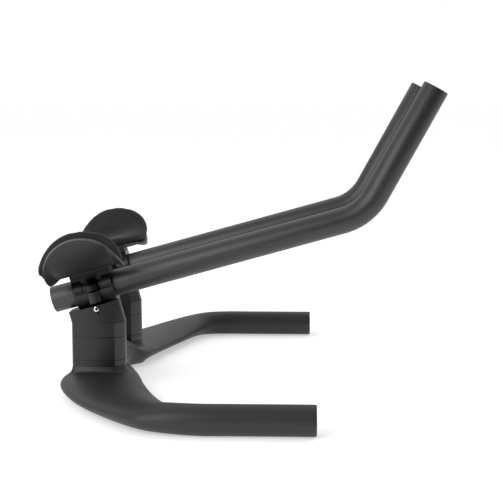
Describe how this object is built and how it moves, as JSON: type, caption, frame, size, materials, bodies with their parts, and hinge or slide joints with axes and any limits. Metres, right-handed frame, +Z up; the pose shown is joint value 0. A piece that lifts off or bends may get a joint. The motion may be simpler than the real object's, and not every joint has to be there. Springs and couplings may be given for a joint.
{
  "type": "time-trial aero handlebar",
  "caption": "Aero handlebar with a swept base bar and forward horns, stacked towers, bent extensions in angled clamps and padded half-moon armrests.",
  "frame": {"origin": "centre of the stem clamp, on the axis of the round middle of the base bar", "axes": "+X forwards along the horns, +Y to the rider's left, +Z up; the bar lies on a floor at z = -15.9 mm"},
  "size_m": [0.3357, 0.424, 0.2627],
  "materials": {
    "base_bar": "satin black moulding",
    "tower": "matte black",
    "clamp": "matte black",
    "extension": "satin black",
    "cup": "satin black",
    "pad": "matte black foam",
    "dark_bolt": "black steel",
    "bright_screw": "bright steel",
    "insert": "plain steel"
  },
  "bodies": {
    "bar": {"base_bar": "base_bar", "left_tower_inserts": "insert", "left_thin_spacer": "tower", "left_tall_spacer": "tower", "left_top_spacer": "tower", "left_clamp_base": "clamp", "left_side_screw": "bright_screw", "left_clamp_cap": "clamp", "left_armrest_cup": "cup", "left_arm_pad": "pad", "left_tower_bolts": "dark_bolt", "left_clamp_bolts": "dark_bolt", "left_armrest_bolts": "dark_bolt", "right_tower_inserts": "insert", "right_thin_spacer": "tower", "right_tall_spacer": "tower", "right_top_spacer": "tower", "right_clamp_base": "clamp", "right_side_screw": "bright_screw", "right_clamp_cap": "clamp", "right_armrest_cup": "cup", "right_arm_pad": "pad", "right_tower_bolts": "dark_bolt", "right_clamp_bolts": "dark_bolt", "right_armrest_bolts": "dark_bolt"},
    "left_extension": {"left_extension": "extension"},
    "right_extension": {"right_extension": "extension"}
  },
  "joints": [
    {"name": "left_extension_slide", "type": "slide", "parent": "bar", "child": "left_extension", "axis": [0.9632, 0, 0.2689], "range_m": [-0.06, 0.018]},
    {"name": "right_extension_slide", "type": "slide", "parent": "bar", "child": "right_extension", "axis": [0.9632, 0, 0.2689], "range_m": [-0.06, 0.018]}
  ]
}
